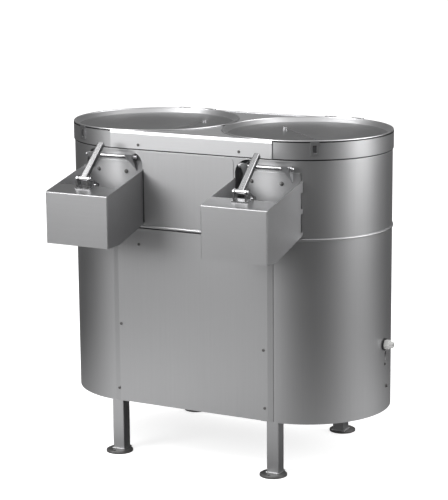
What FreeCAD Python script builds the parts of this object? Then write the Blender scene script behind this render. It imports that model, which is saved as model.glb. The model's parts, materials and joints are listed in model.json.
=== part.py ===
import FreeCAD, Part
import math
import os

# Double vegetable peeling machine: two round peeling bowls side by side in one obround steel housing
# on four legs. Millimetres, +Z up, front towards -Y. The origin lies on the floor, in the middle of the
# four floor bolts. Both peeling units are alike: the right one is the left one moved along X.

Vector = FreeCAD.Vector
X_AXIS = Vector(1, 0, 0)
Z_AXIS = Vector(0, 0, 1)

# Heights from the floor up
foot_thickness = 8.0
leg_length = 163.0
lower_housing_height = 583.0
upper_housing_height = 234.0
collar_height = 56.0

# Plan of the housing: each shell is wider than what stands in it by a named clearance
bowl_radius = 257.0
bowl_clearance = 8.0
collar_overhang = 3.0
lid_inset = 0.5
lid_gap = 5.0
skin = 2.0
seam_gap = 0.6
seat_gap = 0.3

# Legs and feet
leg_width = 40.0
leg_wall = 2.5
leg_inset_x = 7.0
foot_diameter = 86.0
foot_edge_drop = 3.0
foot_edge_width = 5.0
foot_offset = 14.0
floor_hole_diameter = 9.0
floor_hole_offset = 29.0

# Floor plate, middle deck and access panel
floor_plate_thickness = 3.0
deck_thickness = 10.0
deck_bead_overhang = 3.5
deck_bead_round = 3.3
deck_groove_height = 2.0
deck_groove_depth = 1.5
shell_flange = 6.0
shell_edge_round = 1.5
panel_thickness = 1.5
panel_stand_off = 2.5
panel_wing = 18.0
panel_overlap = 11.0
panel_edge_gap = 3.0
frame_return = 34.0
panel_corner_radius = 14.0

# Groove under the collar, and the front and back cover strips on it
collar_groove_height = 4.0
collar_groove_depth = 3.5
strip_thickness = 1.5
strip_stand_off = 2.0
strip_lap = 14.0
strip_bevel_height = 9.0
strip_bevel_gap = 0.1

# Lids
lid_lip_radius = 2.9
lid_lip_sides = 12
lid_sheet = 1.5
lid_depth = 17.0
lid_dish = 5.0
lid_cone_run = 11.0
lid_hinge_gap = 0.5
lid_knuckle_radius = 4.0
lid_knuckle_length = 24.0
lid_knuckle_spread = 48.0
lid_pin_radius = 2.0
lid_lug_length = 8.0
stay_knob_radius = 7.0
stay_knob_height = 6.0
stay_radius = 2.0
stay_end_gap = 10.0
stay_knob_inset_left = 112.8
stay_knob_inset_right = 150.4
stay_angles = {"left": (34.0, -58.2), "right": (152.7, -51.9)}

# Lid latches on the collar
latch_angle = 30.0
latch_width = 27.0
latch_height = 43.0
latch_thickness = 4.0
latch_slot_width = 13.0
latch_slot_height = 24.0
latch_slot_rise = 6.0
latch_top_rise = 5.0

# Bowls
bowl_wall = 2.5
bowl_floor = 3.0
bowl_top_drop = 28.0
bowl_flange = 8.0
disc_clearance = 12.5
disc_thickness = 8.0
disc_lift = 16.0
disc_hub_radius = 30.0
disc_hub_height = 14.0
wave_count = 3
wave_radius = 11.0
wave_start = 45.0
wave_end_gap = 14.0

# Outlet and its curved door
outlet_offset = -9.0
outlet_bottom = 12.0
outlet_side_gap = 16.0
outlet_height = 170.0
arch_bottom = 7.0
arch_side_gap = 2.0
arch_top_drop = 4.0
arch_corner_radius = 46.0
door_width = 204.0
door_height = 183.0
door_lip_depth = 3.0
door_lip_height = 4.0
door_sheet = 2.5
door_sill_gap = 1.0
door_shaft_radius = 6.0
door_shaft_drop = 23.0
door_shaft_forward = 4.0
door_arm_thickness = 3.0
door_arm_spread = 160.0
door_arm_drop = 30.0
door_hub_radius = 9.0
door_flange_width = 26.0
door_flange_sheet = 2.5
door_flange_rise = 9.0
door_flange_forward = 18.0
shaft_overhang = 5.0
hinge_lug_thickness = 4.0
hinge_lug_gap = 1.0
hinge_lug_height = 16.0
running_clearance = 0.05

# Chutes
chute_width = 220.0
chute_reach = 217.0
chute_sheet = 2.0
chute_front_rise = 123.0
chute_front_drop = 38.0
chute_back_rise = 171.0
chute_floor_rise = 3.0
chute_mouth = 66.0
chute_cover_depth = 68.0
chute_edge_round = 3.0
tab_heights = (31.0, 15.0, 16.0)
tab_spacing = 50.0
tab_depth = 13.0

# Clamps on the chute covers
bracket_width = 45.0
bracket_sheet = 5.0
bracket_depth = 21.0
bracket_setback = 38.0
bracket_foot = 5.0
pivot_height = 30.0
pivot_radius = 4.0
pivot_overhang = 5.0
lever_length = 143.0
lever_width = 19.0
lever_thickness = 18.0
lever_angle = 41.0
lever_tip_width = 17.0
lever_edge_round = 3.0
lever_hub_radius = 7.0
link_length = 46.0
link_angle = -32.0
link_thickness = 6.0
link_width = 4.0
link_tip_radius = 6.0
link_tip_length = 13.0

# Cable gland on the right end
gland_height = 387.0
gland_ring_radius = 19.0
gland_ring_thickness = 4.0
gland_hex_width = 27.0
gland_hex_length = 14.0
gland_cap_radius = 12.5
gland_cap_end_radius = 9.5
gland_cap_length = 12.0
gland_bore_radius = 6.0

# Levels and places worked out from the sizes above
body_bottom = foot_thickness + leg_length
deck_level = body_bottom + lower_housing_height
deck_bottom = deck_level - deck_thickness
collar_bottom = deck_level + upper_housing_height
collar_top = collar_bottom + collar_height
housing_radius = bowl_radius + bowl_clearance
collar_radius = housing_radius + collar_overhang
lid_radius = collar_radius - lid_inset
bowl_spacing = 2 * lid_radius + lid_gap
half_spacing = bowl_spacing / 2
chute_front_top = deck_level + chute_front_rise
chute_front_bottom = deck_level - chute_front_drop
chute_back_top = deck_level + chute_back_rise
chute_back_bottom = deck_level + chute_floor_rise
disc_radius = bowl_radius - bowl_wall - disc_clearance
lid_floor_radius = lid_radius - 2 * lid_lip_radius + lid_sheet - lid_cone_run
lid_lip_level = collar_top + seat_gap + lid_lip_radius
lid_floor_level = lid_lip_level + lid_lip_radius - lid_depth
panel_half_width = half_spacing + panel_overlap
front_face = -housing_radius
margin = 50.0
SIDES = {"left": -1, "right": 1}
KNOB_INSETS = {"left": stay_knob_inset_left, "right": stay_knob_inset_right}

os.makedirs("parts", exist_ok=True)


def save(name, shape):
    shape.exportStep("parts/" + name + ".step")


def box(x_low, x_high, y_low, y_high, z_low, z_high):
    corner = Vector(x_low, y_low, z_low)
    return Part.makeBox(x_high - x_low, y_high - y_low, z_high - z_low, corner)


def disc(radius, z_low, z_high, x=0.0, y=0.0):
    return Part.makeCylinder(radius, z_high - z_low, Vector(x, y, z_low))


def bar_x(radius, x_low, x_high, y, z):
    return Part.makeCylinder(radius, x_high - x_low, Vector(x_low, y, z), X_AXIS)


def bar_between(start, end, radius):
    run = end - start
    return Part.makeCylinder(radius, run.Length, start, run)


def turned(length, angle):
    """A level vector of that length, turned by the angle from +X."""
    return Vector(length * math.cos(math.radians(angle)), length * math.sin(math.radians(angle)), 0)


def prism(points, direction):
    """A straight prism over a flat outline of straight edges."""
    outline = Part.makePolygon(points + [points[0]])
    return Part.Face(outline).extrude(direction)


def obround(radius, z_low, z_high):
    """A block with straight front and back and two half-round ends."""
    front_left = Vector(-half_spacing, -radius, z_low)
    front_right = Vector(half_spacing, -radius, z_low)
    back_right = Vector(half_spacing, radius, z_low)
    back_left = Vector(-half_spacing, radius, z_low)
    right_end = Vector(half_spacing + radius, 0, z_low)
    left_end = Vector(-half_spacing - radius, 0, z_low)
    edges = [
        Part.LineSegment(front_left, front_right).toShape(),
        Part.Arc(front_right, right_end, back_right).toShape(),
        Part.LineSegment(back_right, back_left).toShape(),
        Part.Arc(back_left, left_end, front_left).toShape(),
    ]
    return Part.Face(Part.Wire(edges)).extrude(Vector(0, 0, z_high - z_low))


def band(outer, inner, z_low, z_high):
    return obround(outer, z_low, z_high).cut(obround(inner, z_low, z_high))


def half_of(shape, side):
    """Keeps the half on one side of the seam at X = 0."""
    reach = half_spacing + collar_radius + margin
    low, high = (seam_gap / 2, reach) if side > 0 else (-reach, -seam_gap / 2)
    return shape.common(box(low, high, -reach, reach, 0, collar_top + margin))


def revolved(points, x):
    """Turns an outline of (radius, height) points about the upright axis of the bowl at x."""
    corners = [Vector(x + r, 0, z) for r, z in points]
    face = Part.Face(Part.makePolygon(corners + [corners[0]]))
    return face.revolve(Vector(x, 0, 0), Z_AXIS, 360)


def rounded_sheet(x_low, x_high, z_low, z_high, corner):
    """An upright sheet against the front face, with round corners."""
    sheet = box(x_low, x_high, front_face - panel_thickness, front_face, z_low, z_high)
    upright = [e for e in sheet.Edges if e.BoundBox.YLength > 0.9 * panel_thickness
               and e.BoundBox.XLength < 0.01 and e.BoundBox.ZLength < 0.01]
    return sheet.makeFillet(corner, upright)


def make_legs():
    for name, side in SIDES.items():
        for end, depth in (("front", -1), ("back", 1)):
            leg_x = side * (half_spacing + leg_inset_x)
            leg_y = depth * (housing_radius - leg_width / 2)
            half = leg_width / 2
            tube = box(leg_x - half, leg_x + half, leg_y - half, leg_y + half, foot_thickness, body_bottom)
            tube = tube.makeFillet(leg_wall, [e for e in tube.Edges if e.BoundBox.ZLength > leg_length / 2])
            bore = half - leg_wall
            tube = tube.cut(box(leg_x - bore, leg_x + bore, leg_y - bore, leg_y + bore, 0, body_bottom))
            save("leg_" + end + "_" + name, tube)

            foot_x = leg_x
            foot_y = leg_y + depth * foot_offset
            radius = foot_diameter / 2
            plate = disc(radius, 0, foot_thickness - foot_edge_drop, foot_x, foot_y)
            crown = Part.makeCone(radius, radius - foot_edge_width, foot_edge_drop,
                                  Vector(foot_x, foot_y, foot_thickness - foot_edge_drop))
            hole_y = foot_y + depth * floor_hole_offset
            hole = disc(floor_hole_diameter / 2, -1, foot_thickness + 1, foot_x, hole_y)
            save("foot_" + end + "_" + name, plate.fuse(crown).removeSplitter().cut(hole))


def make_lower_housing():
    floor_plate = obround(housing_radius - skin - seat_gap, body_bottom, body_bottom + floor_plate_thickness)
    save("floor_plate", floor_plate)
    bead = obround(housing_radius + deck_bead_overhang, deck_bottom, deck_level - deck_groove_height)
    rim = [e for e in bead.Edges if e.BoundBox.ZLength < 0.01]
    seat = obround(housing_radius - deck_groove_depth, deck_bottom + deck_bead_round, deck_level)
    save("middle_deck", bead.makeFillet(deck_bead_round, rim).fuse(seat).removeSplitter())

    opening_half = half_spacing - frame_return
    opening = box(-opening_half, opening_half, -housing_radius - 1, -housing_radius / 2,
                  body_bottom - 1, deck_bottom + 1)
    shell = band(housing_radius, housing_radius - skin, body_bottom, deck_bottom).cut(opening)
    for name, side in SIDES.items():
        save("lower_shell_" + name, half_of(shell, side))

    save("front_access_panel", access_panel(body_bottom + panel_edge_gap, deck_bottom - panel_edge_gap))


def access_panel(low, high):
    """A sheet held off the front face, with its sides bent back to the shell and a return at each end."""
    edge, bend = panel_half_width, panel_half_width - panel_wing
    near, far = front_face, front_face - panel_stand_off
    outline = [(-edge, near), (-edge, near - panel_thickness), (-bend, far - panel_thickness),
               (bend, far - panel_thickness), (edge, near - panel_thickness), (edge, near),
               (bend, far), (-bend, far)]
    sheet = prism([Vector(x, y, low) for x, y in outline], Vector(0, 0, high - low))
    returns = [box(-bend, bend, far, near, z, z + panel_thickness) for z in (low, high - panel_thickness)]
    return sheet.fuse(returns).removeSplitter()


def outlet_arch(centre):
    """The block that cuts the arched opening of one outlet through the front."""
    half = chute_width / 2 - arch_side_gap
    top = collar_bottom - arch_top_drop
    arch = box(centre - half, centre + half, -housing_radius - margin, -housing_radius * 0.72,
               deck_level + arch_bottom, top)
    corners = [e for e in arch.Edges if e.BoundBox.ZLength < 0.01 and e.BoundBox.XLength < 0.01
               and e.BoundBox.ZMax > top - 1]
    return arch.makeFillet(arch_corner_radius, corners)


def make_upper_housing():
    shell = obround(housing_radius, deck_level, collar_bottom)
    top_edges = [e for e in shell.Edges if e.BoundBox.ZMin > collar_bottom - 0.01]
    shell = shell.makeFillet(shell_edge_round, top_edges)
    shell = shell.cut(obround(housing_radius - skin, deck_level, collar_bottom - skin))
    shell = shell.cut(obround(housing_radius - shell_flange, collar_bottom - skin, collar_bottom))
    for side in SIDES.values():
        shell = shell.cut(outlet_arch(side * half_spacing + outlet_offset))
    for name, side in SIDES.items():
        save("upper_shell_" + name, half_of(shell, side))

    left_edge = -half_spacing + outlet_offset + chute_width / 2 + panel_edge_gap
    right_edge = half_spacing + outlet_offset - chute_width / 2 - panel_edge_gap
    panel = rounded_sheet(left_edge, right_edge, deck_level + panel_edge_gap,
                          collar_bottom - panel_edge_gap, panel_corner_radius)
    save("upper_front_panel", panel)


def make_collar():
    neck_radius = housing_radius - collar_groove_depth
    wall_bottom = collar_bottom + collar_groove_height
    wall = band(collar_radius, collar_radius - skin, wall_bottom, collar_top)
    foot = band(collar_radius - skin, neck_radius - skin, wall_bottom, wall_bottom + skin)
    neck = band(neck_radius, neck_radius - skin, collar_bottom, wall_bottom)
    collar = wall.fuse([foot, neck]).removeSplitter()
    for name, side in SIDES.items():
        save("collar_" + name, half_of(collar, side))

    reach = collar_radius + strip_stand_off + strip_thickness
    span = panel_half_width
    for name, depth in (("front", -1), ("back", 1)):
        low, high = collar_bottom + collar_groove_height, collar_top + skin + strip_thickness
        inner = reach - strip_thickness
        bevel = strip_stand_off - strip_bevel_gap
        outline = [(collar_radius, low), (reach, low), (reach, high - strip_bevel_height),
                   (reach - bevel, high), (reach - strip_lap, high),
                   (reach - strip_lap, high - strip_thickness),
                   (inner - bevel, high - strip_thickness), (inner, high - strip_bevel_height),
                   (inner, low + strip_thickness), (collar_radius, low + strip_thickness)]
        strip = prism([Vector(-span, depth * y, z) for y, z in outline], Vector(2 * span, 0, 0))
        for side in SIDES.values():
            strip = strip.cut(disc(lid_radius + 1, 0, high + 1, side * half_spacing))
        save(name + "_cover_strip", strip)

    plates = []
    for depth in (-1, 1):
        low, high = sorted((depth * collar_radius, depth * collar_radius * 0.2))
        plate = box(-half_spacing, half_spacing, low, high, collar_top, collar_top + skin)
        for side in SIDES.values():
            x = side * half_spacing
            plate = plate.cut(disc(lid_radius + 1, collar_top - 1, collar_top + skin + 1, x))
        plates.append(plate)
    save("deck_plates", Part.makeCompound(plates))


def latch_spot(side, radius):
    """The point on the collar under a lid's latch, and the direction that it faces."""
    angle = math.radians(-90 + side * latch_angle)
    facing = Vector(math.cos(angle), math.sin(angle), 0)
    return Vector(side * half_spacing, 0, 0) + facing * radius, facing


def make_latches():
    latches = []
    for side in SIDES.values():
        spot, facing = latch_spot(side, collar_radius)
        top = collar_top + latch_top_rise
        plate = box(-latch_width / 2, latch_width / 2, -latch_thickness, skin, top - latch_height, top)
        slot_low = top - latch_height + latch_slot_rise
        slot = box(-latch_slot_width / 2, latch_slot_width / 2, -latch_thickness - 1, 0,
                   slot_low, slot_low + latch_slot_height)
        latch = plate.cut(slot)
        latch.rotate(Vector(0, 0, 0), Z_AXIS, side * latch_angle)
        latch.translate(spot)
        ring = disc(collar_radius + running_clearance, top - latch_height - 1, top + 1, side * half_spacing)
        latches.append(latch.cut(ring))
    save("lid_latches", Part.makeCompound(latches))


def hinge_place():
    """Depth and height of the lids' hinge pins."""
    strip_back = collar_radius + strip_stand_off + strip_thickness
    lid_top = lid_lip_level + lid_lip_radius
    return strip_back + lid_hinge_gap + lid_knuckle_radius, lid_top - lid_knuckle_radius


def make_lids():
    for name, side in SIDES.items():
        x = side * half_spacing
        wall_foot = lid_floor_radius
        wall_top = wall_foot + lid_cone_run
        flat = wall_foot - lid_cone_run
        outline = [
            (0, lid_floor_level - lid_dish),
            (flat, lid_floor_level),
            (wall_foot, lid_floor_level),
            (wall_top, lid_lip_level),
            (wall_top - lid_sheet, lid_lip_level),
            (wall_foot - lid_sheet / 2, lid_floor_level + lid_sheet),
            (flat, lid_floor_level + lid_sheet),
            (0, lid_floor_level - lid_dish + lid_sheet),
        ]
        lip = []
        for step in range(lid_lip_sides):
            angle = math.radians(360.0 * step / lid_lip_sides)
            lip.append((lid_radius - lid_lip_radius + lid_lip_radius * math.cos(angle),
                        lid_lip_level + lid_lip_radius * math.sin(angle)))
        lid = revolved(outline, x).fuse(revolved(lip, x))
        for spread in (-1, 1):
            lid = add_knuckle(lid, x + spread * lid_knuckle_spread, spread)
        save("lid_" + name, lid.removeSplitter())
        save("lid_stay_" + name, lid_stay(name, x))


def add_knuckle(lid, x, spread):
    """Welds one hinge knuckle with its leaf to the lid's lip."""
    hinge_y, hinge_z = hinge_place()
    low, high = x - lid_knuckle_length / 2, x + lid_knuckle_length / 2
    far = lid_knuckle_spread + lid_knuckle_length / 2
    edge = math.sqrt(lid_radius ** 2 - far ** 2) - lid_lip_radius
    knuckle = bar_x(lid_knuckle_radius, low, high, hinge_y, hinge_z)
    leaf_top = hinge_z + lid_knuckle_radius - seat_gap
    leaf = box(low, high, edge, hinge_y, leaf_top - lid_sheet, leaf_top)
    bore = bar_x(lid_pin_radius + running_clearance, low, high, hinge_y, hinge_z)
    return lid.fuse([knuckle, leaf]).cut(bore)


def make_lid_hinges():
    """The fixed halves of the lid hinges: a pin between two lugs on the back of the collar."""
    hinge_y, hinge_z = hinge_place()
    back = collar_radius + strip_stand_off + strip_thickness
    strip_room = box(-panel_half_width, panel_half_width, 0, back, collar_bottom, collar_top + margin)
    room = obround(collar_radius, collar_bottom, collar_top + margin).fuse(strip_room)
    hinges = []
    for side in SIDES.values():
        for spread in (-1, 1):
            x = side * half_spacing + spread * lid_knuckle_spread
            half = lid_knuckle_length / 2 + seat_gap
            end = half + lid_lug_length
            pieces = [bar_x(lid_pin_radius, x - end, x + end, hinge_y, hinge_z)]
            for low, high in ((x - end, x - half), (x + half, x + end)):
                lug = bar_x(lid_knuckle_radius, low, high, hinge_y, hinge_z)
                tail = box(low, high, collar_radius * 0.9, hinge_y + lid_knuckle_radius,
                           hinge_z - 5 * lid_knuckle_radius, hinge_z)
                pieces.append(lug.fuse(tail).cut(room))
            hinges.append(pieces[0].fuse(pieces[1:]))
    save("lid_hinges", Part.makeCompound(hinges))


def lid_stay(name, x):
    """A thin rod over the lid's floor, from a knob to the foot of the lid's sloping wall."""
    level = lid_floor_level + lid_sheet + stay_knob_height / 2
    knob_place = lid_radius - KNOB_INSETS[name]
    start_angle, end_angle = stay_angles[name]
    start = Vector(x, 0, level) + turned(knob_place, start_angle)
    end = Vector(x, 0, level) + turned(lid_floor_radius - stay_end_gap, end_angle)
    floor_drop = lid_dish * (1 - (knob_place + stay_knob_radius) / (lid_floor_radius - lid_cone_run))
    foot = lid_floor_level + lid_sheet - floor_drop
    knob = disc(stay_knob_radius, foot, level + stay_knob_height / 2, start.x, start.y)
    return knob.fuse(bar_between(start, end, stay_radius))


def make_bowls():
    discs = []
    for name, side in SIDES.items():
        x = side * half_spacing
        top = collar_top - bowl_top_drop
        outer = disc(bowl_radius, deck_level, top, x)
        inner = disc(bowl_radius - bowl_wall, deck_level + bowl_floor, top, x)
        flange = disc(bowl_radius + bowl_flange, top - bowl_wall, top, x)
        flange = flange.common(obround(collar_radius - skin - seat_gap, top - bowl_wall, top))
        bowl = outer.fuse(flange).cut(inner)
        centre = x + outlet_offset
        half = chute_width / 2 - arch_side_gap - outlet_side_gap
        outlet = box(centre - half, centre + half, -bowl_radius - 5, -bowl_radius * 0.7,
                     deck_level + outlet_bottom, deck_level + outlet_bottom + outlet_height)
        save("bowl_" + name, bowl.cut(outlet))

        low = deck_level + bowl_floor + disc_lift
        plate = disc(disc_radius, low, low + disc_thickness, x)
        hub = disc(disc_hub_radius, low + disc_thickness, low + disc_thickness + disc_hub_height, x)
        shaft = disc(disc_hub_radius * 0.5, deck_level + bowl_floor, low, x)
        waves = []
        for turn in range(wave_count):
            start = Vector(x + wave_start, 0, low + disc_thickness * 0.5)
            wave = Part.makeCone(wave_radius * 0.6, wave_radius, disc_radius - wave_end_gap - wave_start,
                                 start, X_AXIS)
            wave.rotate(Vector(x, 0, 0), Z_AXIS, 360.0 * turn / wave_count)
            waves.append(wave)
        body = plate.fuse([hub, shaft] + waves)
        discs.append(body.cut(disc(disc_radius + 1, low - wave_radius * 2, low, x).cut(
            disc(disc_hub_radius * 0.5, low - wave_radius * 2, low, x))))
    save("peeling_discs", Part.makeCompound(discs))


def shaft_place():
    """Height and depth of the outlet door's shaft."""
    return -housing_radius - door_shaft_forward, collar_bottom - door_shaft_drop


def make_doors():
    shaft_y, shaft_z = shaft_place()
    inner_radius = bowl_radius + seat_gap
    low = deck_level + outlet_bottom + door_sill_gap
    top = low + door_height
    arm_end = door_arm_spread / 2
    lug_outer = arm_end - door_arm_thickness - hinge_lug_gap
    lugs = []
    for name, side in SIDES.items():
        x = side * half_spacing
        centre = x + outlet_offset
        half = door_width / 2
        ring = disc(inner_radius + door_sheet, low, top, x)
        ring = ring.cut(disc(inner_radius, low - 1, top + 1, x))
        lip = disc(inner_radius + door_sheet + door_lip_depth, top - door_lip_height, top, x)
        lip = lip.cut(disc(inner_radius, top - door_lip_height - 1, top + 1, x))
        door = ring.fuse(lip).removeSplitter().common(
            box(centre - half, centre + half, -housing_radius, 0, low, top))
        arms = []
        for end in (-1, 1):
            arm_low = min(centre + end * arm_end, centre + end * (arm_end - door_arm_thickness))
            hub = bar_x(door_hub_radius, arm_low, arm_low + door_arm_thickness, shaft_y, shaft_z)
            front, back = shaft_y - door_flange_forward, -inner_radius * 0.9
            upper, lower = shaft_z + door_flange_rise, top - door_arm_drop
            tip = -inner_radius * 0.98
            points = [
                Vector(arm_low, front, upper),
                Vector(arm_low, shaft_y, upper),
                Vector(arm_low, shaft_y + door_hub_radius, shaft_z),
                Vector(arm_low, back, top),
                Vector(arm_low, back, lower),
                Vector(arm_low, tip, lower),
            ]
            edge = centre + end * arm_end
            flange = prism([Vector(edge, front, upper), Vector(edge - end * door_flange_width, front, upper),
                            Vector(edge, tip, lower)], Vector(0, door_flange_sheet, 0))
            arm = prism(points, Vector(door_arm_thickness, 0, 0)).fuse([hub, flange])
            arms.append(arm.cut(disc(inner_radius, low - 1, shaft_z + margin, x)))
        door = door.fuse(arms)
        shaft_end = arm_end + shaft_overhang
        bore = bar_x(door_shaft_radius + running_clearance, centre - shaft_end, centre + shaft_end,
                     shaft_y, shaft_z)
        save("outlet_door_" + name, door.cut(bore))
        save("door_shaft_" + name, bar_x(door_shaft_radius, centre - shaft_end, centre + shaft_end,
                                         shaft_y, shaft_z))
        for end in (-1, 1):
            lug_inner = lug_outer - hinge_lug_thickness
            low_x, high_x = sorted((centre + end * lug_outer, centre + end * lug_inner))
            lug = box(low_x, high_x, shaft_y, -bowl_radius * 0.8,
                      shaft_z - hinge_lug_height / 2, shaft_z + hinge_lug_height / 2)
            nose = bar_x(hinge_lug_height / 2, low_x, high_x, shaft_y, shaft_z)
            lugs.append(lug.fuse(nose).cut([disc(bowl_radius, 0, collar_top, x), bore]))
    save("door_hinge_lugs", Part.makeCompound(lugs))


def cover_height(y):
    """Height of the chute's sloping top edge at depth y."""
    front = front_face - chute_reach
    share = (y - front) / chute_reach
    return chute_front_top + share * (chute_back_top - chute_front_top)


def make_chutes():
    front = front_face - chute_reach
    for name, side in SIDES.items():
        centre = side * half_spacing + outlet_offset
        half = chute_width / 2
        back = -housing_radius * 0.75
        back_top = cover_height(back)
        mouth = front + chute_mouth
        floor_slope = (chute_back_bottom - chute_front_bottom) / (front_face - mouth)
        back_bottom = chute_front_bottom + floor_slope * (back - mouth)
        outline = [(front, chute_front_bottom), (mouth, chute_front_bottom), (back, back_bottom),
                   (back, back_top), (front, chute_front_top)]
        outer = prism([Vector(centre - half, y, z) for y, z in outline], Vector(chute_width, 0, 0))
        folds = [e for e in outer.Edges if e.BoundBox.YMax < front + 0.01
                 and e.BoundBox.ZMax > chute_front_top - 0.01]
        outer = outer.makeFillet(chute_edge_round, folds)
        sheet = chute_sheet
        floor_rise = sheet / math.cos(math.atan(floor_slope))
        inner_outline = [(front + sheet, chute_front_bottom - 1), (mouth, chute_front_bottom - 1),
                         (mouth, chute_front_bottom + floor_rise), (back + 1, back_bottom + floor_rise),
                         (back + 1, back_top + margin), (front + chute_cover_depth, back_top + margin),
                         (front + chute_cover_depth, cover_height(front + chute_cover_depth) - sheet),
                         (front + sheet, cover_height(front + sheet) - sheet)]
        inner = prism([Vector(centre - half + sheet, y, z) for y, z in inner_outline],
                      Vector(chute_width - 2 * sheet, 0, 0))
        chute = outer.cut(inner)
        chute = chute.cut(obround(housing_radius + seat_gap, 0, collar_top))
        chute = chute.cut(disc(housing_radius + tab_depth, 0, collar_top, side * half_spacing).cut(
            tab_bands(back_bottom, back_top)))
        save("chute_" + name, chute)


def tab_bands(low, high):
    """Three level bands in which the chute's walls reach back to the housing."""
    top, middle, bottom = tab_heights
    reach = half_spacing + housing_radius + margin
    levels = ((chute_back_top - top, high + margin),
              (chute_back_top - top - tab_spacing - middle, chute_back_top - top - tab_spacing),
              (low - margin, chute_back_bottom + bottom))
    bands = [box(-reach, reach, -reach, 0, z_low, z_high) for z_low, z_high in levels]
    return bands[0].fuse(bands[1:])


def clamp_place(side):
    """Middle of the clamp's foot on the cover, and the height of the cover there."""
    y = front_face - chute_reach + bracket_setback + bracket_depth / 2
    return Vector(side * half_spacing + outlet_offset, y, cover_height(y))


def pivot_place(side):
    """The middle of the clamp's pivot shaft."""
    return clamp_place(side) + Vector(0, 0, pivot_height)


def cover_slope():
    return math.degrees(math.atan((chute_back_top - chute_front_top) / chute_reach))


def clamp_bracket(side):
    """A stirrup of two upright ears, on a foot that lies on the sloping cover."""
    half = bracket_width / 2
    depth = bracket_depth / 2
    drop = depth * math.tan(math.radians(cover_slope()))
    ears = []
    for end in (-1, 1):
        low, high = sorted((end * half, end * (half - bracket_sheet)))
        ear = box(low, high, -depth, depth, -drop, pivot_height + depth * 0.8)
        tops = [e for e in ear.Edges if e.BoundBox.XLength > bracket_sheet * 0.9
                and e.BoundBox.ZMin > pivot_height]
        ears.append(ear.makeFillet(depth * 0.8, tops))
    reach = half + bracket_foot
    foot = prism([Vector(-reach, -depth, -drop), Vector(-reach, depth, drop),
                  Vector(-reach, depth, drop + bracket_sheet), Vector(-reach, -depth, bracket_sheet - drop)],
                 Vector(2 * reach, 0, 0))
    under = prism([Vector(-reach, -depth, -drop), Vector(-reach, depth, drop), Vector(-reach, depth, -margin),
                   Vector(-reach, -depth, -margin)], Vector(2 * reach, 0, 0))
    bore = bar_x(pivot_radius + running_clearance, -half - 1, half + 1, 0, pivot_height)
    bracket = foot.fuse(ears).removeSplitter().cut([bore, under])
    bracket.translate(clamp_place(side))
    return bracket


def clamp_lever():
    """The tapered handle with its wide hub, lying along +Y with the pivot at the origin."""
    half = lever_width / 2
    tip = lever_tip_width / 2
    grip = prism([Vector(-half, 0, -lever_thickness / 2), Vector(half, 0, -lever_thickness / 2),
                  Vector(tip, lever_length, -lever_thickness / 2),
                  Vector(-tip, lever_length, -lever_thickness / 2)], Vector(0, 0, lever_thickness))
    long_edges = [e for e in grip.Edges if e.BoundBox.YLength > lever_length * 0.9
                  or e.BoundBox.YMin > lever_length - 0.1]
    grip = grip.makeFillet(lever_edge_round, long_edges)
    reach = bracket_width / 2 - bracket_sheet - seat_gap
    hub = bar_x(lever_hub_radius, -reach, reach, 0, 0)
    return grip.fuse(hub).cut(bar_x(pivot_radius + running_clearance, -reach, reach, 0, 0))


def clamp_link():
    """The short crank on the right end of the pivot shaft, with its round catch."""
    low = bracket_width / 2 + seat_gap
    arm = box(low, low + link_width, 0, link_length, -link_thickness / 2, link_thickness / 2)
    hub = bar_x(pivot_radius * 1.8, low, low + link_width, 0, 0)
    catch = bar_x(link_tip_radius, low + link_width - link_tip_length, low + link_width, link_length, 0)
    return arm.fuse([hub, catch]).cut(bar_x(pivot_radius + running_clearance, low, low + link_width, 0, 0))


def make_clamps():
    save("clamp_brackets", Part.makeCompound([clamp_bracket(side) for side in SIDES.values()]))
    reach = bracket_width / 2 + pivot_overhang
    for name, side in SIDES.items():
        for node, piece, angle in (("clamp_lever_", clamp_lever(), lever_angle),
                                   ("clamp_link_", clamp_link(), link_angle),
                                   ("clamp_shaft_", bar_x(pivot_radius, -reach, reach, 0, 0), 0)):
            piece.rotate(Vector(0, 0, 0), X_AXIS, angle)
            piece.translate(pivot_place(side))
            save(node + name, piece)


def make_gland():
    x = half_spacing + housing_radius
    ring = Part.makeCylinder(gland_ring_radius, gland_ring_thickness, Vector(x, 0, gland_height), X_AXIS)
    corner = gland_hex_width / math.sqrt(3)
    points = []
    for turn in range(6):
        angle = math.radians(60 * turn)
        points.append(Vector(x + gland_ring_thickness, corner * math.cos(angle),
                             gland_height + corner * math.sin(angle)))
    nut = prism(points, Vector(gland_hex_length, 0, 0))
    cap_start = Vector(x + gland_ring_thickness + gland_hex_length, 0, gland_height)
    cap = Part.makeCone(gland_cap_radius, gland_cap_end_radius, gland_cap_length, cap_start, X_AXIS)
    bore = Part.makeCylinder(gland_bore_radius, gland_cap_length + gland_hex_length,
                             Vector(x + gland_ring_thickness + 2, 0, gland_height), X_AXIS)
    back = disc(housing_radius, gland_height - margin, gland_height + margin, half_spacing)
    ring = ring.cut(back)
    save("cable_gland_ring", ring)
    save("cable_gland", nut.fuse(cap).cut(bore))


make_legs()
make_lower_housing()
make_upper_housing()
make_collar()
make_latches()
make_lids()
make_lid_hinges()
make_bowls()
make_doors()
make_chutes()
make_clamps()
make_gland()
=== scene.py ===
# Looks of the double vegetable peeling machine: steel finishes, small fasteners, studio light and camera.
# Lengths are in metres and angles in degrees, unless a comment says otherwise.
import json
import math

import bpy
from mathutils import Matrix, Vector


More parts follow.
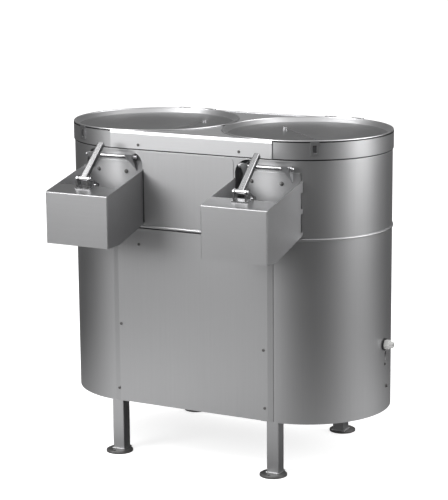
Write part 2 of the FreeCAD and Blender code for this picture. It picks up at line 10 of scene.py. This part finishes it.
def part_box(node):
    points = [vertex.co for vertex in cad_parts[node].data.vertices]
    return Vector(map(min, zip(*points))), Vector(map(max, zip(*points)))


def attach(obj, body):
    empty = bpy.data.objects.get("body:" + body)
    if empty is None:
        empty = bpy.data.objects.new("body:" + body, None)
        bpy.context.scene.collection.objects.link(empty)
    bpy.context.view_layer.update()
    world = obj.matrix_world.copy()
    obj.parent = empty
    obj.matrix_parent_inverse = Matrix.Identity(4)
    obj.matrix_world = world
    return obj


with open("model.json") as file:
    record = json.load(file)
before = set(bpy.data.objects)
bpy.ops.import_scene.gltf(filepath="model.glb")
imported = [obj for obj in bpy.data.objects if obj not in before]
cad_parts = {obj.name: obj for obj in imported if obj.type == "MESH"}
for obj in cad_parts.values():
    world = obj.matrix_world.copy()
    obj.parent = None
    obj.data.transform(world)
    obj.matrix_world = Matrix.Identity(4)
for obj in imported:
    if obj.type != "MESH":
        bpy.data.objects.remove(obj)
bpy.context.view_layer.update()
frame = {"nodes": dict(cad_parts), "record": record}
nodes = frame["nodes"]
print("frame loaded:", len(nodes), "nodes")

# The two peeling units stand this far to the left and right of the machine's middle
unitMiddle = 0.270


# Camera, where the photograph was taken from
camera = {"azimuth": 27.991, "pitch": 11.892, "roll": -0.477, "distance": 6.0372, "aimAside": -0.0241,
          "aimHeight": 0.63784, "lens": 135.14, "sensor": 36.0, "farthest": 100.0}


def addCamera(c):
    turn, tip, roll = (math.radians(c[k]) for k in ("azimuth", "pitch", "roll"))
    back = Vector((math.sin(turn) * math.cos(tip), -math.cos(turn) * math.cos(tip), math.sin(tip)))
    right = Vector((math.cos(turn), math.sin(turn), 0))
    up = back.cross(right)
    tilted = right * math.cos(roll) + up * math.sin(roll)
    upright = up * math.cos(roll) - right * math.sin(roll)
    place = Vector((0, 0, c["aimHeight"])) + right * c["aimAside"] + back * c["distance"]
    bpy.ops.object.camera_add(location=place)
    cam = bpy.context.object
    cam.name = "photoCamera"
    cam.matrix_world = Matrix.Translation(place) @ Matrix((tilted, upright, back)).transposed().to_4x4()
    cam.data.lens = c["lens"]
    cam.data.sensor_width = c["sensor"]
    cam.data.clip_end = c["farthest"]
    bpy.context.scene.camera = cam


addCamera(camera)
print("camera set")


class Value:  # one output socket, so that shader maths reads as plain sums
    def __init__(self, recipe, socket):
        self.recipe, self.socket = recipe, socket

    def sum(self, operation, *terms):
        return self.recipe.node("ShaderNodeMath", {"operation": operation}, dict(enumerate(terms)))

    def __add__(self, other):
        return self.sum("ADD", self, other)

    def __radd__(self, other):
        return self.sum("ADD", other, self)

    def __sub__(self, other):
        return self.sum("SUBTRACT", self, other)

    def __rsub__(self, other):
        return self.sum("SUBTRACT", other, self)

    def __mul__(self, other):
        return self.sum("MULTIPLY", self, other)

    def __truediv__(self, other):
        return self.sum("DIVIDE", self, other)

    def __pow__(self, other):
        return self.sum("POWER", self, other)

    def __gt__(self, other):
        return self.sum("GREATER_THAN", self, other)

    def __lt__(self, other):
        return self.sum("LESS_THAN", self, other)

    def atMost(self, other):
        return self.sum("MINIMUM", self, other)

    def atLeast(self, other):
        return self.sum("MAXIMUM", self, other)

    def absolute(self):
        return self.sum("ABSOLUTE", self)


class Recipe:  # the nodes of one material, or of the world
    def __init__(self, owner):
        owner.use_nodes = True
        self.owner, self.tree = owner, owner.node_tree
        self.tree.nodes.clear()

    def node(self, kind, settings=None, values=None, out=0):
        made = self.tree.nodes.new(kind)
        for name, value in (settings or {}).items():
            setattr(made, name, value)
        for name, value in (values or {}).items():
            socket = made.inputs[name]
            if isinstance(value, Value):
                self.tree.links.new(value.socket, socket)
            else:
                socket.default_value = value
        return Value(self, made.outputs[out]) if len(made.outputs) else self.owner

    def place(self, scale=(1, 1, 1)):
        spot = self.node("ShaderNodeTexCoord", out="Object")
        return self.node("ShaderNodeMapping", {}, {"Vector": spot, "Scale": scale})

    def part(self, axis, vector=None):
        whole = self.place() if vector is None else vector
        return self.node("ShaderNodeSeparateXYZ", {}, {"Vector": whole}, out="xyz".index(axis))

    def noise(self, scale, detail=3.0, stretch=(1, 1, 1)):
        return self.node("ShaderNodeTexNoise", {},
                         {"Vector": self.place(stretch), "Scale": scale, "Detail": detail})

    def line(self, along, scale, detail=3.0):
        return self.node("ShaderNodeTexNoise", {"noise_dimensions": "1D"},
                         {"W": along, "Scale": scale, "Detail": detail})

    def mixed(self, share, first, second):
        return self.node("ShaderNodeMix", {"data_type": "RGBA"}, {0: share, 6: first, 7: second}, out=2)

    def bumped(self, height, s):
        return self.node("ShaderNodeBump", {},
                         {"Strength": s["grain"], "Distance": s["depth"], "Height": height})

    def finish(self, **values):
        bsdf = self.node("ShaderNodeBsdfPrincipled", {}, {k.replace("_", " "): v for k, v in values.items()})
        return self.node("ShaderNodeOutputMaterial", {}, {"Surface": bsdf})


def newRecipe(name):
    return Recipe(bpy.data.materials.new(name))


def shade(colour, factor=1.0):
    return [c * factor for c in colour] + [1.0]


def weighed(parts, shares):
    total = parts[0] * shares[0]
    for part, share in zip(parts[1:], shares[1:]):
        total = total + part * share
    return total


# Sheet steel with its grain along one axis: fine streaks, wider ones between them and a cloudy sheen, mixed
# by shares, and painted shade in the grooves at seams, each between two heights. Where a normal rises more
# than upward, it is a top
sheetSteel = {"colour": (0.60, 0.60, 0.607), "dull": (0.50, 0.502, 0.51), "rough": 0.42, "roughSpread": 0.12,
              "streak": 900.0, "wideStreak": 140.0, "cloud": 5.0, "shares": (0.35, 0.25, 0.4),
              "detail": 2.0, "stretch": 0.012, "grain": 0.06, "depth": 0.0004, "upward": 0.5,
              "shadedGrooves": [(0.9878, 0.9924)], "paintedShade": (0.10, 0.10, 0.10)}


def makeSheetSteel(name, s, along="z", tint=1.0, rough=0.0, topShadeTint=1.0):
    m = newRecipe(name)
    stretch = [s["stretch"] if axis == along else 1 for axis in "xyz"]
    fine = m.noise(s["streak"], s["detail"], stretch)
    wide = m.noise(s["wideStreak"], s["detail"], stretch)
    share = weighed((fine, wide, m.noise(s["cloud"])), s["shares"])
    colour = m.mixed(share, shade(s["colour"], tint), shade(s["dull"], tint))
    if topShadeTint != 1.0:  # painted shade: darker on the faces that look upward
        rise = m.part("z", m.node("ShaderNodeNewGeometry", out="Normal"))
        top = m.mixed(share, shade(s["colour"], topShadeTint), shade(s["dull"], topShadeTint))
        colour = m.mixed(rise > s["upward"], colour, top)
    height = m.part("z")
    # painted shade: dark bands at the heights of the grooves between the shell and the collar
    for low, high in s["shadedGrooves"]:
        colour = m.mixed((height > low) * (height < high), colour, shade(s["paintedShade"]))
    roughness = share * s["roughSpread"] + (s["rough"] + rough - s["roughSpread"] / 2)
    return m.finish(Base_Color=colour, Metallic=1.0, Roughness=roughness, Normal=m.bumped(fine + wide, s))


# Lids: spun steel with fine rings round each lid's middle, a floor darkened as painted shade, and painted
# shade under the lip
spunSteel = {"colour": (0.76, 0.76, 0.765), "dull": (0.66, 0.66, 0.67), "rough": 0.27, "roughSpread": 0.10,
             "ring": 700.0, "wideRing": 60.0, "cloud": 6.0, "shares": (0.3, 0.3, 0.4), "grain": 0.25,
             "depth": 0.0004, "floor": 0.2495, "lidFloorShade": (0.42, 0.42, 0.425), "lidFloorShadeLeast": 0.6,
             "lidFloorShadeSpread": 0.6, "lip": 0.2625, "lipFoot": 1.0462, "paintedShade": (0.14, 0.14, 0.14)}


def makeSpunSteel(name, s):
    m = newRecipe(name)
    across, deep, height = (m.part(axis) for axis in "xyz")
    aside = across.absolute() - unitMiddle
    radius = (aside * aside + deep * deep) ** 0.5
    rings = m.line(radius, s["ring"])
    wide = m.line(radius, s["wideRing"])
    share = weighed((rings, wide, m.noise(s["cloud"])), s["shares"])
    # painted shade: the lid floor is darker inside its rim
    lidFloorShade = (radius < s["floor"]) * (s["lidFloorShadeLeast"] + share * s["lidFloorShadeSpread"]).atMost(1.0)
    # painted shade: a dark ring under the lip, where the lid meets the collar
    shadedUnderLip = (radius > s["lip"]) * (height < s["lipFoot"])
    colour = m.mixed(share, shade(s["colour"]), shade(s["dull"]))
    colour = m.mixed(lidFloorShade, colour, shade(s["lidFloorShade"]))
    colour = m.mixed(shadedUnderLip, colour, shade(s["paintedShade"]))
    return m.finish(Base_Color=colour, Metallic=1.0, Roughness=share * s["roughSpread"] + s["rough"],
                    Normal=m.bumped(rings + wide, s))


# Polished bright parts: nearly even, with faint scuffs. Levers, links and stirrups are duller with use
polishedSteel = {"colour": (0.78, 0.78, 0.785), "dull": (0.60, 0.60, 0.61), "rough": 0.10,
                 "roughSpread": 0.16, "scuff": 60.0, "detail": 5.0, "grain": 0.05, "depth": 0.0005}
workedSteel = {**polishedSteel, "colour": (0.56, 0.56, 0.565), "dull": (0.44, 0.44, 0.45), "rough": 0.14,
               "scuff": 90.0}


def makePolishedSteel(name, s):
    m = newRecipe(name)
    scuff = m.noise(s["scuff"], s["detail"])
    return m.finish(Base_Color=m.mixed(scuff, shade(s["colour"]), shade(s["dull"])), Metallic=1.0,
                    Roughness=scuff * s["roughSpread"] + s["rough"], Normal=m.bumped(scuff, s))


# Foot plates: steel painted darker than the sheet steel as painted shade, with stained blotches
shadedFootSteel = {"colour": (0.30, 0.30, 0.30), "stain": (0.13, 0.125, 0.12), "metallic": 0.9, "rough": 0.42,
             "roughSpread": 0.25, "blotch": 45.0, "detail": 6.0, "speck": 600.0, "grain": 0.2,
             "depth": 0.0006}


def makeShadedFootSteel(name, s):
    m = newRecipe(name)
    blotch = m.noise(s["blotch"], s["detail"])
    speck = m.noise(s["speck"])
    return m.finish(Base_Color=m.mixed(blotch, shade(s["colour"]), shade(s["stain"])), Metallic=s["metallic"],
                    Roughness=blotch * s["roughSpread"] + s["rough"], Normal=m.bumped(blotch + speck, s))


# Peeling discs: coarse mineral grit bonded on metal
peelingGrit = {"colour": (0.20, 0.19, 0.18), "light": (0.46, 0.45, 0.43), "rough": 0.65, "roughSpread": 0.3,
               "pebble": 420.0, "grain": 0.9, "depth": 0.002}


def makePeelingGrit(name, s):
    m = newRecipe(name)
    pebble = m.node("ShaderNodeTexVoronoi", {}, {"Vector": m.place(), "Scale": s["pebble"]})
    return m.finish(Base_Color=m.mixed(pebble, shade(s["light"]), shade(s["colour"])),
                    Roughness=pebble * s["roughSpread"] + s["rough"], Normal=m.bumped(pebble, s))


# Moulded parts: the plastic of the cable gland, and the black rubber of its ring, of the latch catches, and
# of the painted shadow strip by the left outlet
moulded = {"smear": 40.0, "smearDetail": 4.0, "light": 1.1, "dark": 0.85, "roughSpread": 0.12, "grain": 0.1,
           "depth": 0.0003}
glandPlastic = {**moulded, "colour": (0.62, 0.62, 0.61), "rough": 0.40, "speck": 700.0}
sealRubber = {**moulded, "colour": (0.025, 0.025, 0.027), "rough": 0.62, "speck": 500.0}


def makeMoulded(name, s):
    m = newRecipe(name)
    speck = m.noise(s["speck"])
    smear = m.noise(s["smear"], s["smearDetail"])
    colour = m.mixed(smear, shade(s["colour"], s["light"]), shade(s["colour"], s["dark"]))
    return m.finish(Base_Color=colour, Roughness=speck * s["roughSpread"] + s["rough"],
                    Normal=m.bumped(speck, s))


finishes = {
    "brushed_steel": makeSheetSteel("uprightSheet", sheetSteel),
    "satin_steel": makeSpunSteel("spunSteel", spunSteel),
    "polished_steel": makePolishedSteel("brightSteel", polishedSteel),
    "foot_steel": makeShadedFootSteel("shadedFootPlate", shadedFootSteel),
    "peeling_grit": makePeelingGrit("peelingGrit", peelingGrit),
    "gland_plastic": makeMoulded("glandPlastic", glandPlastic),
    "seal_rubber": makeMoulded("sealRubber", sealRubber),
}

# Nodes whose steel differs from the rest of their slot. Deck plates, outlet doors and lid latches get lighter
# copies of the sheet steel as painted light, and the chutes get painted shade on top
# painted shade: a dark band on the collar, in the gap under the lid's lip
collarShadedGrooves = sheetSteel["shadedGrooves"] + [(1.0428, 1.046)]
ownSheets = {
    ("front_cover_strip", "back_cover_strip"):
        makeSheetSteel("stripSheet", sheetSteel, along="x", tint=1.2, rough=0.04),
    ("deck_plates",):
        makeSheetSteel("deckSheetPaintedLight", sheetSteel, along="x", tint=1.45),
    ("collar_left", "collar_right"):
        makeSheetSteel("collarSheet", {**sheetSteel, "shadedGrooves": collarShadedGrooves}, along="x"),
    ("outlet_door_left", "outlet_door_right"):
        makeSheetSteel("doorSheetPaintedLight", sheetSteel, along="x", tint=1.35),
    ("lid_stay_left", "lid_stay_right"):
        makeSheetSteel("staySteel", sheetSteel, tint=0.95, rough=-0.05),
    ("lid_latches",):
        makeSheetSteel("latchSteelPaintedLight", sheetSteel, tint=1.4, rough=-0.1),
    ("clamp_lever_left", "clamp_lever_right", "clamp_link_left", "clamp_link_right", "clamp_brackets",
     "door_shaft_left", "door_shaft_right"):
        makePolishedSteel("workedSteel", workedSteel),
    ("chute_left", "chute_right"):
        # painted shade: the chutes are darker on top
        makeSheetSteel("chuteSheet", {**sheetSteel, "cloud": 9.0}, along="x", topShadeTint=0.62),
}
sheetOf = {node: material for names, material in ownSheets.items() for node in names}

for part in frame["record"]["subparts"]:
    for slot in nodes[part["node"]].material_slots:
        slot.material = sheetOf.get(part["node"], finishes[part["material_slot"]])
print("nodes dressed")


def dress(piece, material):
    piece.data.materials.clear()
    piece.data.materials.append(material)


def own(piece, body, slot):
    dress(piece, finishes[slot])
    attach(piece, body)


def deselect():
    if bpy.context.mode != "OBJECT":
        bpy.ops.object.mode_set(mode="OBJECT")
    bpy.ops.object.select_all(action="DESELECT")


def makeActive(piece):
    deselect()
    piece.select_set(True)
    bpy.context.view_layer.objects.active = piece


def settled(piece):
    bpy.ops.object.transform_apply(location=True, rotation=True, scale=True)
    return piece


def placed(model, name, place, facing, turn=0.0):
    # a copy of a small part modelled on +Z, set down at a place and facing a direction, turned in radians
    piece = model.copy()
    piece.data = model.data.copy()
    piece.name = name
    bpy.context.collection.objects.link(piece)
    spin = Vector(facing).to_track_quat("Z", "Y").to_matrix().to_4x4()
    piece.matrix_world = Matrix.Translation(place) @ spin @ Matrix.Rotation(turn, 4, "Z")
    makeActive(piece)
    return settled(piece)


# Edges sharper than bevelOver are rounded off, and faces that meet under shadeUnder are shaded as one
edges = {"bevelOver": 30.0, "shadeUnder": 35.0, "rippleShadeUnder": 60.0}


def bevelled(piece, width, segments=3):
    makeActive(piece)
    edge = piece.modifiers.new("edge", "BEVEL")
    edge.width, edge.segments, edge.limit_method = width, segments, "ANGLE"
    edge.angle_limit = math.radians(edges["bevelOver"])
    bpy.ops.object.modifier_apply(modifier="edge")
    return piece


def joined(pieces):
    makeActive(pieces[0])
    for piece in pieces[1:]:
        piece.select_set(True)
    if len(pieces) > 1:
        bpy.ops.object.join()
    settled(pieces[0])
    bpy.ops.object.shade_smooth_by_angle(angle=math.radians(edges["shadeUnder"]))
    return bpy.context.object


def turnedDisc(radius, low, high, sides=32):
    deselect()
    bpy.ops.mesh.primitive_cylinder_add(vertices=sides, radius=radius, depth=high - low,
                                        location=(0, 0, (low + high) / 2))
    return bpy.context.object


def bevelledPlate(size, middle, bevel, segments=2):
    deselect()
    bpy.ops.mesh.primitive_cube_add(size=1, location=middle, scale=size)
    return joined([bevelled(settled(bpy.context.object), bevel, segments)])


# Fasteners: pan head screws with a cross recess, hexagon bolts on washers, and domed cap nuts. turnStep is
# the turn, in radians, from one to the next, and a share is of the height it belongs to
panScrew = {"radius": 0.0046, "height": 0.0024, "bevel": 0.0015, "bevelSteps": 4, "slot": 0.0011,
            "slotLength": 0.0056, "slotDepth": 0.0012, "turnStep": 0.4}
hexBolt = {"radius": 0.0050, "height": 0.0044, "bevel": 0.0006, "washer": 0.0066, "washerHeight": 0.0010,
           "washerBevelShare": 0.3, "washerBevelSteps": 2, "turnStep": 0.5}
capNut = {"radius": 0.0085, "height": 0.0060, "bevel": 0.0008, "dome": 0.0066, "domeHeight": 0.0062,
          "domeFootShare": 0.9, "domeBevelShare": 0.85, "domeBevelSteps": 6, "overShaft": 0.004}


def modelPanScrew(s):
    head = bevelled(turnedDisc(s["radius"], 0, s["height"]), s["bevel"], s["bevelSteps"])
    for turn in (0, math.pi / 2):
        deselect()
        bpy.ops.mesh.primitive_cube_add(size=1, location=(0, 0, s["height"]), rotation=(0, 0, turn),
                                        scale=(s["slotLength"], s["slot"], 2 * s["slotDepth"]))
        cutter = bpy.context.object
        cut = head.modifiers.new("slot", "BOOLEAN")
        cut.object, cut.operation = cutter, "DIFFERENCE"
        makeActive(head)
        bpy.ops.object.modifier_apply(modifier="slot")
        bpy.data.objects.remove(cutter)
    return joined([head])


def modelHexBolt(s):
    washer = bevelled(turnedDisc(s["washer"], 0, s["washerHeight"]),
                      s["washerHeight"] * s["washerBevelShare"], s["washerBevelSteps"])
    head = turnedDisc(s["radius"], s["washerHeight"], s["washerHeight"] + s["height"], sides=6)
    return joined([washer, bevelled(head, s["bevel"])])


def modelCapNut(s):
    foot = bevelled(turnedDisc(s["radius"], 0, s["height"], sides=6), s["bevel"])
    dome = turnedDisc(s["dome"], s["height"] * s["domeFootShare"], s["height"] + s["domeHeight"])
    return joined([foot, bevelled(dome, s["domeHeight"] * s["domeBevelShare"], s["domeBevelSteps"])])


# Where the screws stand: (x, z) on each sheet of the front and back
screwPlaces = {
    "front_access_panel": [(-0.267, 0.214), (0.253, 0.214), (-0.186, 0.690), (-0.256, 0.427), (0.249, 0.398)],
    "front_cover_strip": [(-0.181, 1.005), (0.170, 1.007)],
    "back_cover_strip": [(-0.176, 1.006), (0.176, 1.006)],
}


def addScrews(s):
    model = modelPanScrew(s)
    count = 0
    for node, places in screwPlaces.items():
        low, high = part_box(node)
        face, way = (high[1], 1) if node.startswith("back") else (low[1], -1)
        for x, z in places:
            count += 1
            screw = placed(model, f"screw{count}", (x, face, z), (0, way, 0), turn=s["turnStep"] * count)
            # painted shade: dressed in the dark foot steel, so that each screw shows as a dark dot
            own(screw, "housing", "foot_steel")
    bpy.data.objects.remove(model)


addScrews(panScrew)
print("screws added")


# Outlet doors: two bolts on each door's round sheet, to both sides of its outlet's middle, and a cap nut
# over each end of its shaft
doorBolts = {"sheetRadius": 0.2598, "height": 0.917, "outlets": {"left": -0.279, "right": 0.261},
             "across": (-0.057, 0.0455)}


def addDoorHardware(d):
    bolt, nut = modelHexBolt(hexBolt), modelCapNut(capNut)
    for side, outlet in d["outlets"].items():
        body = f"door_{side}_body"
        centre = math.copysign(unitMiddle, outlet)
        for number, across in enumerate(d["across"], 1):
            x = outlet + across - centre
            y = -math.sqrt(d["sheetRadius"] ** 2 - x ** 2)
            piece = placed(bolt, f"doorBolt_{side}_{number}", (centre + x, y, d["height"]), (x, y, 0),
                           turn=hexBolt["turnStep"] * number)
            # painted shade: dressed in the dark foot steel, so that each bolt shows dark
            own(piece, body, "foot_steel")
        low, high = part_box(f"door_shaft_{side}")
        y, z = (low[1] + high[1]) / 2, (low[2] + high[2]) / 2
        for number, (end, way) in enumerate(((low[0], -1), (high[0], 1)), 1):
            foot = (end - way * capNut["overShaft"], y, z)
            piece = placed(nut, f"shaftNut_{side}_{number}", foot, (way, 0, 0))
            own(piece, body, "polished_steel")
    bpy.data.objects.remove(bolt)
    bpy.data.objects.remove(nut)


addDoorHardware(doorBolts)
print("door hardware added")


# Right end, under the cable gland: a strap plate, a screw and an earth bolt, each at (angle, height)
rightEnd = {"radius": 0.265, "strap": (2.0, 0.349), "strapSize": (0.009, 0.028, 0.0016),
            "strapBevel": 0.0006, "screw": (1.3, 0.322), "bolt": (4.0, 0.2485)}


def onRightEnd(r, angle, height):
    turn = math.radians(angle)
    way = Vector((math.cos(turn), math.sin(turn), 0))
    return Vector((unitMiddle, 0, height)) + way * r["radius"], way


def addRightEnd(r):
    thick = r["strapSize"][2]
    strap = bevelledPlate(r["strapSize"], (0, 0, thick / 2), r["strapBevel"])
    spot, way = onRightEnd(r, *r["strap"])
    own(placed(strap, "earthStrap", spot, way, turn=math.pi), "housing", "polished_steel")
    bpy.data.objects.remove(strap)
    screw, bolt = modelPanScrew(panScrew), modelHexBolt(hexBolt)
    for name, model, key in (("earthScrew", screw, "screw"), ("earthBolt", bolt, "bolt")):
        spot, way = onRightEnd(r, *r[key])
        # painted shade: dressed in the dark foot steel, so that they show dark
        own(placed(model, name, spot, way), "housing", "foot_steel")
        bpy.data.objects.remove(model)


addRightEnd(rightEnd)
print("right end fitted")


# A black rubber strip down the edge of the left outlet: a painted shadow for the dark gap between the chute's
# side and the flat front
outletGapShadow = {"x": (-0.1690, -0.1658), "face": -0.265, "proud": 0.0022, "z": (0.762, 0.930),
                "bevel": 0.0008, "bevelSteps": 3}


def addOutletGapShadow(g):
    (left, right), (low, high) = g["x"], g["z"]
    middle = ((left + right) / 2, g["face"] - g["proud"] / 2, (low + high) / 2)
    strip = bevelledPlate((right - left, g["proud"], high - low), middle, g["bevel"], g["bevelSteps"])
    strip.name = "outletGapShadow"
    own(strip, "housing", "seal_rubber")


addOutletGapShadow(outletGapShadow)
print("outlet gasket added")


# Weld beads where each leg meets its foot plate: a four-cornered ring with the ripple of a hand weld,
# whose pitch is in radians to the metre
weldBead = {"half": 0.0212, "thick": 0.0026, "sides": 10, "cuts": 11, "ripple": 0.0007, "pitch": 900.0}


def addWeldBeads(w):
    for place in ("front_left", "front_right", "back_left", "back_right"):
        low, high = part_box(f"leg_{place}")
        middle = [(a + b) / 2 for a, b in zip(low, high)]
        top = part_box(f"foot_{place}")[1][2]
        deselect()
        bpy.ops.mesh.primitive_torus_add(major_segments=4, minor_segments=w["sides"],
                                         major_radius=w["half"] * math.sqrt(2), minor_radius=w["thick"],
                                         rotation=(0, 0, math.pi / 4), location=(middle[0], middle[1], top))
        bead = settled(bpy.context.object)
        bpy.ops.object.mode_set(mode="EDIT")
        bpy.ops.mesh.select_all(action="SELECT")
        bpy.ops.mesh.subdivide(number_cuts=w["cuts"])
        bpy.ops.object.mode_set(mode="OBJECT")
        for vertex in bead.data.vertices:
            x, y = vertex.co.x, vertex.co.y
            along = x + y if abs(x - middle[0]) > abs(y - middle[1]) else x - y
            vertex.co += vertex.normal * math.sin(along * w["pitch"]) * w["ripple"]
        bead.name = f"weldBead_{place}"
        bpy.ops.object.shade_smooth_by_angle(angle=math.radians(edges["rippleShadeUnder"]))
        own(bead, "housing", "brushed_steel")


addWeldBeads(weldBead)
print("weld beads added")


# A catch in black rubber inside the slot of each lid latch, which makes the slot look dark, turned outward by
# the angle from straight ahead
latchCatch = {"size": (0.011, 0.021, 0.0016), "bevelShare": 0.35, "level": 1.024, "angle": 30.0,
              "radius": 0.2686}


def addLatchCatches(c):
    for side, way in (("left", -1), ("right", 1)):
        turn = math.radians(-90 + way * c["angle"])
        out = Vector((math.cos(turn), math.sin(turn), 0))
        plate = bevelledPlate(c["size"], (0, 0, 0), c["size"][2] * c["bevelShare"])
        spot = Vector((way * unitMiddle, 0, c["level"])) + out * c["radius"]
        own(placed(plate, f"latchCatch_{side}", spot, out, turn=math.pi), "housing", "seal_rubber")
        bpy.data.objects.remove(plate)


addLatchCatches(latchCatch)
print("latch catches added")


# Studio: a white ground and background, softboxes at the left and right, and a dim room that shows in the
# steel. A room glow is (direction, gain, spread). A floor glow is ((x, y), reach, gain): painted light on the
# ground that only the steel's reflections see, pools of light and, with a negative gain, a painted shadow
# under the machine
studio = {"paint": (0.8, 0.8, 0.8, 1), "whiteGlow": 0.7, "floorSize": 60.0, "floorSides": 64,
          "floorDrop": 0.0005, "floor": 0.04, "floorLeast": 0.02, "sky": 0.22, "ambient": 0.9, "fade": 1.5}
softboxes = {
    "frontLeftFar": {"place": (-2.0, -3.7, 1.9), "aim": (-0.1, -0.27, 0.9), "size": (2.0, 1.6), "glow": 3.6},
    "frontLeft": {"place": (-1.3, -2.4, 2.0), "aim": (-0.1, -0.27, 1.1), "size": (1.3, 1.8), "glow": 2.2},
    "frontLeftHigh": {"place": (-0.92, -1.5, 2.9), "aim": (0.0, 0.1, 1.0), "size": (2.2, 1.3), "glow": 3.8},
    "right": {"place": (2.6, 0.3, 1.3), "aim": (0.4, 0.0, 1.2), "size": (1.2, 0.9), "glow": 4.0},
    "rightHigh": {"place": (1.9, 0.2, 2.9), "aim": (0.4, 0.0, 1.0), "size": (1.2, 1.2), "glow": 1.8},
    "rightBack": {"place": (2.2, 1.3, 1.9), "aim": (0.4, 0.0, 1.0), "size": (1.2, 1.2), "glow": 1.5},
}
roomGlows = [((1.0, 0.1, 0.2), 1.9, 0.3), ((-0.45, -0.86, 0.25), 1.0, 0.3), ((0.0, 0.0, 1.0), 0.9, 0.45)]
floorPaintedLight = [((-0.5, -0.9), 1.8, 0.9), ((1.1, 0.2), 1.4, 0.7), ((0.0, 0.15), 0.9, -1.2)]


def addSoftbox(name, box):
    place = Vector(box["place"])
    bpy.ops.object.light_add(type="AREA", location=place)
    light = bpy.context.object
    light.name = name
    light.rotation_euler = (Vector(box["aim"]) - place).to_track_quat("-Z", "Y").to_euler()
    light.data.shape = "RECTANGLE"
    light.data.size, light.data.size_y = box["size"]
    light.data.energy = box["glow"] * math.pi * box["size"][0] * box["size"][1]


def rays(m):
    seen, glossy, through = (m.node("ShaderNodeLightPath", out=f"Is {ray} Ray")
                             for ray in ("Camera", "Glossy", "Transmission"))
    return seen, glossy.atLeast(through)


def addFloor(s, glows):
    deselect()
    bpy.ops.mesh.primitive_circle_add(vertices=s["floorSides"], radius=s["floorSize"] / 2, fill_type="NGON",
                                      location=(0, 0, -s["floorDrop"]))
    floor = bpy.context.object
    floor.name = "ground"
    m = newRecipe("ground")
    seen, mirrored = rays(m)
    spot = m.node("ShaderNodeTexCoord", out="Object")
    light = s["floor"]
    # painted light and painted shadow on the ground, seen only in the steel's reflections
    for (x, y), reach, gain in glows:
        apart = m.node("ShaderNodeVectorMath", {"operation": "DISTANCE"}, {0: spot, 1: (x, y, 0)}, out=1)
        light = (1 - apart / reach).atLeast(0.0) ** s["fade"] * gain + light
    paint = m.node("ShaderNodeBsdfDiffuse", {}, {"Color": s["paint"]})
    white = m.node("ShaderNodeEmission", {}, {"Strength": seen * s["whiteGlow"]})
    dim = m.node("ShaderNodeEmission", {}, {"Strength": light.atLeast(s["floorLeast"])})
    lit = m.node("ShaderNodeAddShader", {}, {0: paint, 1: white})
    both = m.node("ShaderNodeMixShader", {}, {0: mirrored, 1: lit, 2: dim})
    m.node("ShaderNodeOutputMaterial", {}, {"Surface": both})
    dress(floor, m.owner)


def addRoom(s, glows):
    world = bpy.data.worlds.new("room")
    bpy.context.scene.world = world
    m = Recipe(world)
    seen, mirrored = rays(m)
    way = m.node("ShaderNodeTexCoord", out="Generated")
    light = s["sky"]
    for direction, gain, spread in glows:
        facing = m.node("ShaderNodeVectorMath", {"operation": "DOT_PRODUCT"}, {0: way, 1: direction}, out=1)
        light = ((facing - (1 - spread)) / spread).atLeast(0.0) ** s["fade"] * gain + light
    strength = seen + mirrored * light + (1 - seen) * (1 - mirrored) * s["ambient"]
    back = m.node("ShaderNodeBackground", {}, {"Strength": strength})
    m.node("ShaderNodeOutputWorld", {}, {"Surface": back})


for name, box in softboxes.items():
    addSoftbox(name, box)
addFloor(studio, floorPaintedLight)
addRoom(studio, roomGlows)
bpy.context.scene.view_settings.view_transform = "Standard"
print("studio lit")
